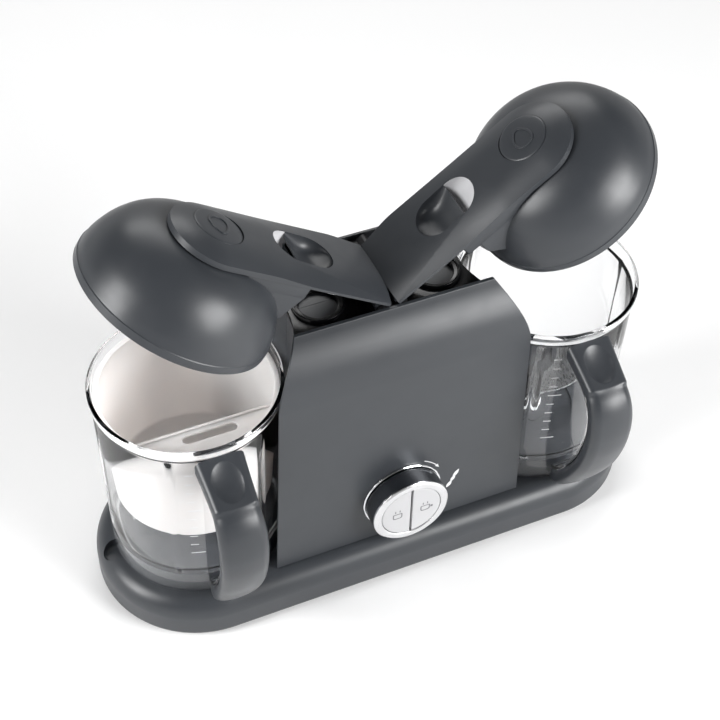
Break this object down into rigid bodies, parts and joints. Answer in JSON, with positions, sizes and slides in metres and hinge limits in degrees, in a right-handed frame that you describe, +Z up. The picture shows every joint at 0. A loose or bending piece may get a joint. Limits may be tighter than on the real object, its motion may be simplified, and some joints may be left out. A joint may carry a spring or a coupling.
{
  "type": "baby food maker",
  "caption": "Countertop steamer and blender for baby food, with lift-off clear jugs on a long rounded plinth, hinged dome lids and one control knob.",
  "frame": {"origin": "on the table under the centre of the object's box, on the middle plane between the jugs", "axes": "+X along the plinth towards the right jug, +Y to the back, +Z up"},
  "size_m": [0.3994, 0.1798, 0.3295],
  "materials": {
    "grey_plastic": "satin cool dark grey",
    "black_plastic": "matt black",
    "gloss_black": "high gloss black",
    "rubber": "soft black rubber",
    "bronze": "sintered bronze",
    "steel": "brushed",
    "aluminium": "cast",
    "chrome": "polished",
    "white_plastic": "pearl white",
    "milky_plastic": "milky translucent",
    "silicone": "translucent grey silicone",
    "clear_plastic": "clear moulded plastic",
    "circuit_board": "green solder mask"
  },
  "bodies": {
    "base": {"base_shell": "grey_plastic", "base_cover": "black_plastic", "foot_front_left": "rubber", "foot_front_right": "rubber", "foot_rear_left": "rubber", "foot_rear_right": "rubber", "housing_front": "grey_plastic", "housing_rear": "grey_plastic", "top_deck": "gloss_black", "left_jug_seat": "grey_plastic", "right_jug_seat": "grey_plastic", "left_drive_bearing": "bronze", "right_drive_bearing": "bronze", "left_water_tank": "steel", "right_water_tank": "steel", "left_heater": "aluminium", "right_heater": "aluminium", "hinge_bracket": "black_plastic", "left_hinge_pin": "steel", "right_hinge_pin": "steel", "motor_bracket": "steel", "motor": "steel", "left_drive_belt": "rubber", "right_drive_belt": "rubber", "control_board": "circuit_board", "selector_switch": "black_plastic", "cord_gland": "rubber", "knob_bezel": "chrome"},
    "motor_rotor": {"motor_shaft": "steel"},
    "left_drive": {"left_drive_hub": "black_plastic"},
    "right_drive": {"right_drive_hub": "black_plastic"},
    "left_jug_body": {"left_jug": "clear_plastic", "left_jug_handle": "grey_plastic", "left_blade_seal": "silicone"},
    "right_jug_body": {"right_jug": "clear_plastic", "right_jug_handle": "grey_plastic", "right_blade_seal": "silicone"},
    "left_blade_body": {"left_blade_hub": "black_plastic", "left_blade": "steel"},
    "right_blade_body": {"right_blade_hub": "black_plastic", "right_blade": "steel"},
    "left_basket_body": {"left_steam_basket": "milky_plastic"},
    "left_lid": {"left_lid_dome": "grey_plastic", "left_lid_liner": "white_plastic", "left_lid_seal": "silicone", "left_lid_strap": "grey_plastic", "left_lid_badge": "grey_plastic", "left_tank_seal": "silicone"},
    "right_lid": {"right_lid_dome": "grey_plastic", "right_lid_liner": "white_plastic", "right_lid_seal": "silicone", "right_lid_strap": "grey_plastic", "right_lid_badge": "grey_plastic", "right_tank_seal": "silicone"},
    "knob_body": {"knob": "gloss_black", "knob_trim_ring": "chrome"},
    "left_button_body": {"left_button": "white_plastic"},
    "right_button_body": {"right_button": "white_plastic"}
  },
  "joints": [
    {"name": "left_lid_hinge", "type": "hinge", "parent": "base", "child": "left_lid", "pos_m": [-0.0068, 0.0181, 0.2266], "axis": [0, 1, 0], "range_deg": [-33, 0]},
    {"name": "right_lid_hinge", "type": "hinge", "parent": "base", "child": "right_lid", "pos_m": [0.0068, 0.0181, 0.2266], "axis": [0, -1, 0], "range_deg": [-37, 0]},
    {"name": "left_jug_lift", "type": "slide", "parent": "base", "child": "left_jug_body", "axis": [0, 0, 1], "range_m": [0, 0.02]},
    {"name": "right_jug_lift", "type": "slide", "parent": "base", "child": "right_jug_body", "axis": [0, 0, 1], "range_m": [0, 0.02]},
    {"name": "left_basket_lift", "type": "slide", "parent": "left_jug_body", "child": "left_basket_body", "axis": [0, 0, 1], "range_m": [0, 0.02]},
    {"name": "motor_spin", "type": "hinge", "parent": "base", "child": "motor_rotor", "pos_m": [0, 0.0181, 0.03], "axis": [0, 0, 1], "continuous": true},
    {"name": "left_drive_spin", "type": "hinge", "parent": "base", "child": "left_drive", "pos_m": [-0.1279, 0.0181, 0.02], "axis": [0, 0, 1], "continuous": true},
    {"name": "right_drive_spin", "type": "hinge", "parent": "base", "child": "right_drive", "pos_m": [0.1279, 0.0181, 0.02], "axis": [0, 0, 1], "continuous": true},
    {"name": "left_blade_spin", "type": "hinge", "parent": "left_jug_body", "child": "left_blade_body", "pos_m": [-0.1279, 0.0181, 0.067], "axis": [0, 0, 1], "continuous": true},
    {"name": "right_blade_spin", "type": "hinge", "parent": "right_jug_body", "child": "right_blade_body", "pos_m": [0.1279, 0.0181, 0.067], "axis": [0, 0, 1], "continuous": true},
    {"name": "knob_turn", "type": "hinge", "parent": "base", "child": "knob_body", "pos_m": [0, -0.03952, 0.0738], "axis": [0, 0.9997, -0.0232], "range_deg": [0, 40], "stiffness_Nm_per_rad": 0.12},
    {"name": "left_button_press", "type": "slide", "parent": "knob_body", "child": "left_button_body", "axis": [0, 0.9997, -0.0232], "range_m": [0, 0.002], "stiffness_N_per_m": 600},
    {"name": "right_button_press", "type": "slide", "parent": "knob_body", "child": "right_button_body", "axis": [0, 0.9997, -0.0232], "range_m": [0, 0.002], "stiffness_N_per_m": 600}
  ],
  "couplings": [
    {"joint": "left_drive_spin", "follows": "motor_spin", "ratio": 0.457},
    {"joint": "right_drive_spin", "follows": "motor_spin", "ratio": 0.457},
    {"joint": "left_blade_spin", "follows": "motor_spin", "ratio": 0.457},
    {"joint": "right_blade_spin", "follows": "motor_spin", "ratio": 0.457}
  ]
}
